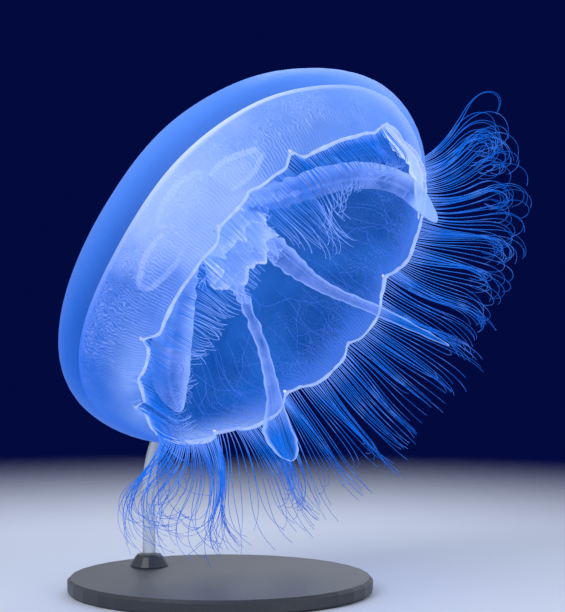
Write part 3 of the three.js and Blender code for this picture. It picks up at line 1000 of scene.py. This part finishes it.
def humps(theta, places):
    """The sum of rounded humps round the rim, each (degrees round, height, reach)."""
    away = [turn_between(theta, radians(where)) / radians(reach) for where, _, reach in places]
    return sum(height * exp(-a * a) for a, (_, height, _) in zip(away, places))


def lean_at(theta):
    """How far the tentacles lean out from the bell's axis as they leave the margin."""
    return lerp(LEAN_IN, LEAN_OUT + radians(humps(theta, LIFTS)), outward_share(theta))


def strand_line(theta, draw):
    """A tentacle's middle line: it leaves the edge, trails along its lean and hooks at the end."""
    out = outward_share(theta)
    tuft = exp(-((turn_between(theta, LONG_SIDE) / LONG_REACH) ** 2))
    length = lerp(LENGTH_IN, LENGTH_OUT, out) * draw.uniform(0.82, 1.06) * (1 + 0.85 * tuft)
    root = margin_place(theta)
    radius, height = hypot(root.x, root.y), root.z
    clump = noise.noise(polar(6, theta, 7))
    hooked = humps(theta, HOOKS)
    hook = -(1.3 + hooked) * draw.uniform(0.5, 1.0) * (1 + 0.35 * clump)
    if hooked < 0.9 and draw.random() < 0.35:
        hook *= -1
    hook_from = draw.uniform(0.42, 0.68) - 0.005 * humps(theta, LIFTS)
    phase = 5 * noise.noise(polar(3.5, theta, 0)) + draw.uniform(-0.35, 0.35)
    gather = TUFT_PULL * noise.noise(polar(11, theta, 0)) * out
    angle, points = theta, [root + Vector((0, 0, ROOT_LIFT))]
    step = length / STRAND_STEPS
    for i in range(STRAND_STEPS):
        t = (i + 1) / STRAND_STEPS
        lean = lean_at(theta) * (0.7 + 0.55 * t) + 0.26 * sin(4.6 * t + phase) + 0.3 * clump * t
        lean += hook * smooth(t, hook_from, 1.05) ** 1.3
        points.append(polar(radius, angle, height))
        radius += step * sin(lean)
        height -= step * cos(lean)
        angle += (gather + 0.026 * sin(4.4 * t + 2.3 * phase)) / STRAND_STEPS
    points.append(polar(radius, angle, height))
    return [BELL @ p for p in points]


def strand_girth(t):
    return lerp(STRAND_ROOT, STRAND_TIP, t**0.7)


def unwrap_place(theta, share):
    """Where a root lies on the flattened bell: the rim is a circle round the middle."""
    reach = 0.42 + 0.04 * share
    return (0.5 + reach * cos(theta), 0.5 + reach * sin(theta))


def tentacles():
    """The strands of each lobe as one piece, evenly spaced with a little chance."""
    material = strand_material()
    for lobe, degrees in enumerate(NOTCH_ANGLES):
        draw = random.Random(SEED + lobe)
        start = radians(degrees)
        span = (radians(NOTCH_ANGLES[(lobe + 1) % 8]) - start) % tau
        count = round(span / STRAND_PITCH)
        strands = Strands(4)
        for i in range(count):
            theta = start + span * (i + draw.uniform(0.25, 0.75)) / count
            if BARE_FROM < theta < BARE_TO:
                continue
            line = strand_line(theta, draw)
            patch = unwrap_place(theta, draw.random())
            strands.add(line, strand_girth, patch)
        piece = strands.piece(f"tentacles_{lobe + 1}")
        finish_piece(piece, f"tentacles_{lobe + 1}", [material], [f"margin_lobe_{lobe + 1}"])


# ---- Canals -----------------------------------------------------------------------------


def canal_net():
    """Thin pale canals from the stomach to the margin, straight ones between branching ones."""
    draw = random.Random(SEED)
    strands = Strands(4)

    def canal(turns, start, spread, girth):
        branching = spread > CANAL_SPREADS[0]
        stop = start + (CANAL_END - start) * draw.uniform(0.24, 0.4) if branching else CANAL_END
        steps = max(int((stop - start) * 60), 4)
        phase = draw.uniform(0, tau)
        line = []
        for i in range(steps + 1):
            t = i / steps
            sway = radians(0.9) * sin(9 * t + phase) * sin(pi * t)
            turn = lerp(*turns, smooth(t, 0, 1)) + sway
            line.append(BELL @ inner_place(turn, lerp(start, stop, t), CANAL_DEPTH))
        strands.add(line, lambda t: girth * (1 - 0.25 * t))
        if branching:
            for side in (-1, 1):
                slant = side * spread * draw.uniform(0.35, 0.65)
                canal((turns[1], turns[1] + slant), stop, spread * 0.6, girth * 0.86)

    for k in range(MAIN_CANALS):
        branching = radians(10 + 360 * k / MAIN_CANALS)
        canal((branching, branching), 0.36, CANAL_SPREADS[1], MAIN_GIRTH)
        straight = radians(32.5 + 360 * k / MAIN_CANALS)
        canal((straight, straight), 0.34, 0, STRAIGHT_GIRTH)
    for k in range(FINE_CANALS):
        turn = tau * (k + draw.uniform(-0.3, 0.3)) / FINE_CANALS
        canal((turn, turn + draw.uniform(-0.03, 0.03)), draw.uniform(0.56, 0.72), 0, FINE_GIRTH)
    finish = milky_material("canal", rgb(78, 128, 246), rgb(78, 128, 246), 0.5, 0.5, 0.7)
    return finish_piece(strands.piece("canal_net"), "canal_net", [finish])


# ---- Gonads -----------------------------------------------------------------------------


def gonad_line(index, steps=60):
    """The horseshoe's middle line, open towards the stomach's middle, as (x, y) places."""
    turn = Matrix.Rotation(GONAD_TURN + index * pi / 2, 3, "Z")
    bow = [(out, -side) for out, side in GONAD_BOW] + [(1, 0)] + GONAD_BOW[::-1]
    points = [
        Vector((lerp(GONAD_INNER, GONAD_OUTER, out), side * GONAD_HALF_WIDTH, 0)) for out, side in bow
    ]
    return [turn @ spline(points, i / steps) + STOMACH_SHIFT for i in range(steps + 1)]


def under_roof(place, drop):
    """A place under the roof of the hollow."""
    radius, theta = hypot(place.x, place.y), atan2(place.y, place.x)
    share = (1 - (radius / HOLLOW_RADIUS) ** HOLLOW_POWER) ** (1 / HOLLOW_POWER)
    height = HOLLOW_WALL + HOLLOW_DOME * share
    return BELL @ polar(squared(theta, radius, height), theta, height - drop)


def gonad_girth(t):
    """Full along the horseshoe and thin at its two ends."""
    return GONAD_GIRTH * (0.3 + 0.7 * sin(pi * min(max(t, 0.03), 0.97)) ** 0.4)


def gonads():
    """Four frilled horseshoes, each round a faint milky pouch."""
    loop_finish = soft_material("gonad", rgb(204, 216, 255), 0.95, 1.25)
    pouch_finish = milky_material("pouch", rgb(146, 180, 255), rgb(150, 182, 255), 0.56, 0.4, 0.92, 0.2)
    for index in range(4):
        line = gonad_line(index)
        last = len(line) - 1
        strands = Strands(10)
        frilled = []
        for spot in line:
            frill = noise.noise(spot * 160 + Vector((index, 0, 0))) * GONAD_FRILL
            frilled.append(under_roof(spot * (1 + frill / spot.length), GONAD_DROP))
        strands.add(frilled, gonad_girth)
        piece = strands.piece(f"gonad_loop_{index + 1}")
        finish_piece(piece, f"gonad_loop_{index + 1}", [loop_finish], [f"gonad_{index + 1}"])

        def place(s, t):
            reach = 0.5 * t * last
            left, right = line[int(reach)], line[last - int(reach)]
            return under_roof(left.lerp(right, s), (1.1 + 1.4 * sin(pi * s) * sin(pi * t)) * MM)

        pouch = walled(sheet(16, 30, place, lambda s, t: abs(2 * s - 1)), POUCH_WALL)
        finish_piece(pouch, f"gonad_pouch_{index + 1}", [pouch_finish])


# ---- Mouth and arms ----------------------------------------------------------------------


def arm_points(arm):
    """An arm's root stands round the stomach's middle, and its tip round the bell's axis."""
    points = []
    for i, (reach, degrees, height) in enumerate(arm["stations"]):
        shift = STOMACH_SHIFT * max(1 - i / 2, 0)
        points.append(polar(reach * MM, radians(degrees), height * MM) + shift)
    return points


def frame_at(line, t, twist=0.0):
    """Middle, way along, way across and way up of an arm at t, turned about its length."""
    middle = spline(line, t)
    forward = (spline(line, t + 0.01) - spline(line, t - 0.01)).normalized()
    around = polar(1, atan2(middle.y, middle.x) + pi / 2, 0)
    across = (around - forward * around.dot(forward)).normalized()
    up = forward.cross(across)
    return middle, forward, across * cos(twist) + up * sin(twist), up * cos(twist) - across * sin(twist)


def rounded(t, start):
    """1 along a blade, falling to 0 as a quarter circle at its tip."""
    past = min(max((t - start) / (1 - start), 0), 1)
    return max(1 - past * past, 0) ** 0.5


def ribbon(line, width, gutter, ruffle, waves, seed, twist=0.0, veil=0, columns=20, rows=170):
    """A thin blade with a gutter along its middle and softly ruffled edges."""

    def place(s, t):
        x = 2 * s - 1
        middle, _, across, up = frame_at(line, t, twist)
        wide = width(t)
        rough = noise.noise(Vector((2 * x + seed, waves * t, seed)))
        wave = sin(tau * waves * t + 2.4 * rough + seed + (2 if x > 0 else 0)) + 0.7 * rough
        lift = gutter * wide * x * x + ruffle(t) * abs(x) ** 3 * wave
        pull = ruffle(t) * 0.4 * x**3 * cos(tau * waves * t * 1.3 + seed)
        return BELL @ (middle + across * (x * wide / 2 + pull) + up * lift)

    def edges(s, t):
        x = 2 * s - 1
        tip = 0.93 * smooth(t, 0.76, 0.9) if veil > 0 else t**40
        return max(0.5 + 0.5 * veil * x if veil else abs(x), tip)

    return walled(sheet(columns, rows, place, edges), BLADE)


def frills(line, strands, draw, width):
    """Curly threads that wind along both edges of an arm, near its root."""
    for side in (-1, 1):
        phase = draw.uniform(0, tau)
        points = []
        for i in range(FRILL_STEPS + 1):
            t = FRILL_END * (i / FRILL_STEPS)
            middle, forward, across, up = frame_at(line, t)
            turn = tau * FRILL_TURNS * i / FRILL_STEPS + phase
            loose = 0.6 + 0.9 * noise.noise(Vector((t * 22, side * 3, phase)))
            reach = FRILL_COIL * loose * (1.25 - 0.6 * i / FRILL_STEPS)
            drift = noise.noise_vector(Vector((t * 30, phase, side))) * FRILL_COIL * 0.5
            edge = middle + across * side * width(t) / 2
            loop = up * cos(turn) * reach + (across * side * 0.8 + forward * 0.9) * sin(turn) * reach
            points.append(BELL @ (edge + loop + drift))
        strands.add(points, lambda t: FRILL_GIRTH * (0.5 + 0.5 * sin(pi * min(max(t, 0.04), 0.96))))


def lips(draw, strands):
    """Short curly threads round the mouth."""
    for k in range(LIP_TUFTS):
        turn = tau * k / LIP_TUFTS + draw.uniform(-0.1, 0.1)
        root = polar(draw.uniform(10, 24) * MM, turn, draw.uniform(27, 46) * MM) + STOMACH_SHIFT
        curl = draw.uniform(2.5, 6.0) * MM
        span = draw.uniform(2.6, 5.6)
        outward = polar(1, turn + draw.uniform(-0.9, 0.9), draw.uniform(-0.5, 0.5)).normalized()
        along_side = outward.cross(polar(0, 0, 1)).normalized()
        side = polar(0, 0, 1).lerp(along_side, draw.uniform(0.2, 0.8)).normalized()
        points = []
        for i in range(LIP_STEPS + 1):
            t = i / LIP_STEPS
            bow = (outward * cos(span * t) + side * sin(span * t)) * curl * (1.1 - 0.5 * t)
            slide = (polar(1, turn, 0) * 3 - polar(0, 0, 5)) * t * MM
            points.append(BELL @ (root + bow + slide))
        strands.add(points, lambda t: lerp(0.34, 0.18, t) * MM)


def mouth_tube():
    """The mouth's four-lobed lips hang from the stomach as a thin milky tube."""

    def place(s, t):
        turn = tau * s
        frill = smooth(t, 0.35, 1)
        lobes = 1 + 0.25 * t * cos(4 * (turn - LOBE_TURN))
        radius = lerp(*TUBE_RADII, smooth(t, 0, 0.6)) * lobes + 7 * frill
        radius += frill * (1.6 * sin(13 * turn) + 6 * noise.noise(polar(3.1, turn, t)))
        hem = 1.4 * sin(17 * turn + 1) + 9 * noise.noise(polar(2.4, turn, 4))
        height = lerp(TUBE_TOP, TUBE_END, t) + frill * hem
        return BELL @ (polar(radius, turn, height) * MM + STOMACH_SHIFT)

    tube = sheet(*TUBE_STEPS, place, lambda s, t: t)
    start_fresh()
    tube.select_set(True)
    bpy.context.view_layer.objects.active = tube
    bpy.ops.object.mode_set(mode="EDIT")
    bpy.ops.mesh.select_all(action="SELECT")
    bpy.ops.mesh.remove_doubles(threshold=1e-6)
    bpy.ops.object.mode_set(mode="OBJECT")
    return walled(tube, BLADE)


def arm_ruffle(t):
    """How high an arm's edge ruffles: high at the root, nearly smooth from halfway on."""
    return lerp(1.5, 0.25, smooth(t, 0.1, 0.5)) * MM


def curtain(line, side, seed):
    """A thin ruffled curtain that hangs beside the root of an arm."""
    turn = Matrix.Rotation(side * CURTAIN_TURN, 3, "Z")
    hung = [turn @ spline(line, CURTAIN_REACH * k / 5) - Vector((0, 0, 0.4 * k * MM)) for k in range(6)]
    ruffle = lambda t: lerp(2.6, 1.2, t) * MM
    return ribbon(hung, lambda t: lerp(10, 3, t) * MM, 0.4, ruffle, 5, seed, columns=16, rows=80)


def mouth_and_arms():
    """The lips, the four arms with their side curtains, and the curly threads on them."""
    draw = random.Random(SEED + 20)
    milk = milky_material("lips", rgb(144, 178, 255), rgb(174, 198, 255), 0.36, 0.74, 0.82, 0.93)
    finish_piece(mouth_tube(), "mouth_lips", [milk])
    pieces, threads = [], Strands(5)
    for i, arm in enumerate(ARMS):
        line = arm_points(arm)
        widths = [w * MM for w in arm["widths"]]

        def width(t, widths=widths, start=arm["round_from"]):
            return max(along(widths, t) * rounded(t, start), 0.2 * MM)

        twist = radians(arm["twist"])
        pieces.append(ribbon(line, width, arm["gutter"], arm_ruffle, 13, i, twist, arm["veil"]))
        for side in (-1, 1):
            pieces.append(curtain(line, side, 10 + 3 * i + side))
        frills(line, threads, draw, width)
    lips(draw, threads)
    nodes = ["mouth_stalk"]
    for i in range(4):
        nodes += [f"oral_arm_{i + 1}_{length}" for length in ("upper", "middle", "tip")]
    finish_piece(joined(pieces), "mouth_and_arms", [arm_material()], nodes)
    thread = milky_material("frill", rgb(132, 170, 255), rgb(132, 170, 255), 0.75, 0.75, 0.8)
    finish_piece(threads.piece("arm_frills"), "arm_frills", [thread])


# ---- Stand ------------------------------------------------------------------------------


def stand():
    """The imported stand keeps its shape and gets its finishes."""
    base, g, shader = new_material("satin base", Roughness=0.42)
    grain = g.noise(g.place(), 900, 2)
    g.feed(shader.inputs["Base Color"], g.mix(grain, rgb(34, 37, 42), rgb(52, 56, 62)))
    g.feed(shader.inputs["Normal"], g.bump(grain, 0.08, 0.0003))
    rod = new_material(
        "clear rod", Roughness=0.2, IOR=1.49, Transmission_Weight=0.8, Base_Color=rgb(226, 232, 238)
    )[0]
    for name in ("base", "collar", "rod", "cup"):
        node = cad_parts["stand_" + name]
        node.data.materials.clear()
        node.data.materials.append(rod if name in ("rod", "cup") else base)


# ---- Stage, lights and camera ------------------------------------------------------------

AIM = Vector((31.8, -22, 147.7)) * MM
CAMERA_AWAY = 1.6
VIEW_HEIGHT = 306 * MM
FILM = 36  # millimetres
FLOOR_RADIUS = 1.2
FLOOR_FADE = (0.22, 0.62)
BACKDROP = rgb(3, 10, 62)


def stage_floor():
    """A pale disc of floor that fades out into the dark backdrop."""
    start_fresh()
    bpy.ops.mesh.primitive_circle_add(vertices=96, radius=FLOOR_RADIUS, fill_type="NGON")
    floor = bpy.context.object
    floor.name = "floor"
    material, g, shader = new_material("pale floor", Roughness=0.75, Base_Color=rgb(196, 202, 214))
    reach = g.node("VectorMath", operation="LENGTH")
    g.feed(reach.inputs[0], g.place())
    g.feed(shader.inputs["Alpha"], g.band(reach.outputs["Value"], *FLOOR_FADE, 1.0, 0.0))
    floor.data.materials.append(material)


def soft_light(name, place, size, power, colour=(1, 1, 1)):
    """A square lamp that shines on the middle of the view."""
    lamp = bpy.data.lights.new(name, "AREA")
    lamp.size = size
    lamp.energy = power
    lamp.color = colour
    holder = bpy.data.objects.new(name, lamp)
    holder.location = place
    holder.rotation_euler = (AIM - Vector(place)).to_track_quat("-Z", "Y").to_euler()
    bpy.context.scene.collection.objects.link(holder)


def studio():
    """Soft pale light from all round, with a dark blue backdrop for the camera."""
    world = bpy.data.worlds.new("studio")
    bpy.context.scene.world = world
    world.use_nodes = True
    g = Graph(world.node_tree)
    light = world.node_tree.nodes["Background"]
    light.inputs["Color"].default_value = rgb(226, 234, 255)
    light.inputs["Strength"].default_value = 0.55
    seen = g.node("Background")
    seen.inputs["Color"].default_value = BACKDROP
    seen.inputs["Strength"].default_value = 1.0
    chosen = g.node("MixShader")
    g.feed(chosen.inputs[0], g.node("LightPath").outputs["Is Camera Ray"])
    g.feed(chosen.inputs[1], light.outputs[0])
    g.feed(chosen.inputs[2], seen.outputs[0])
    g.feed(world.node_tree.nodes["World Output"].inputs[0], chosen.outputs[0])
    soft_light("key", (-0.7, -0.9, 1.1), 0.9, 14)
    soft_light("back", (0.3, 1.0, 0.9), 0.9, 6, (0.85, 0.9, 1))
    soft_light("fill", (1.1, -0.7, 0.5), 0.8, 5)


def camera():
    """The front view, from a little above."""
    made = bpy.data.cameras.new("camera")
    made.sensor_width = FILM
    made.lens = FILM * CAMERA_AWAY / VIEW_HEIGHT
    made.clip_start, made.clip_end = 0.05, 20
    holder = bpy.data.objects.new("camera", made)
    holder.location = AIM + Vector((0, -cos(FRONT_RISE), sin(FRONT_RISE))) * CAMERA_AWAY
    holder.rotation_euler = (pi / 2 - FRONT_RISE, 0, 0)
    bpy.context.scene.collection.objects.link(holder)
    bpy.context.scene.camera = holder


camera()
bell_skin()
wall_net()
rim_band()
margin_fold()
sense_beads()
tentacles()
canal_net()
gonads()
mouth_and_arms()
stand()
stage_floor()
studio()

bpy.context.scene.view_settings.view_transform = "Standard"
bpy.context.scene.cycles.transparent_max_bounces = 40
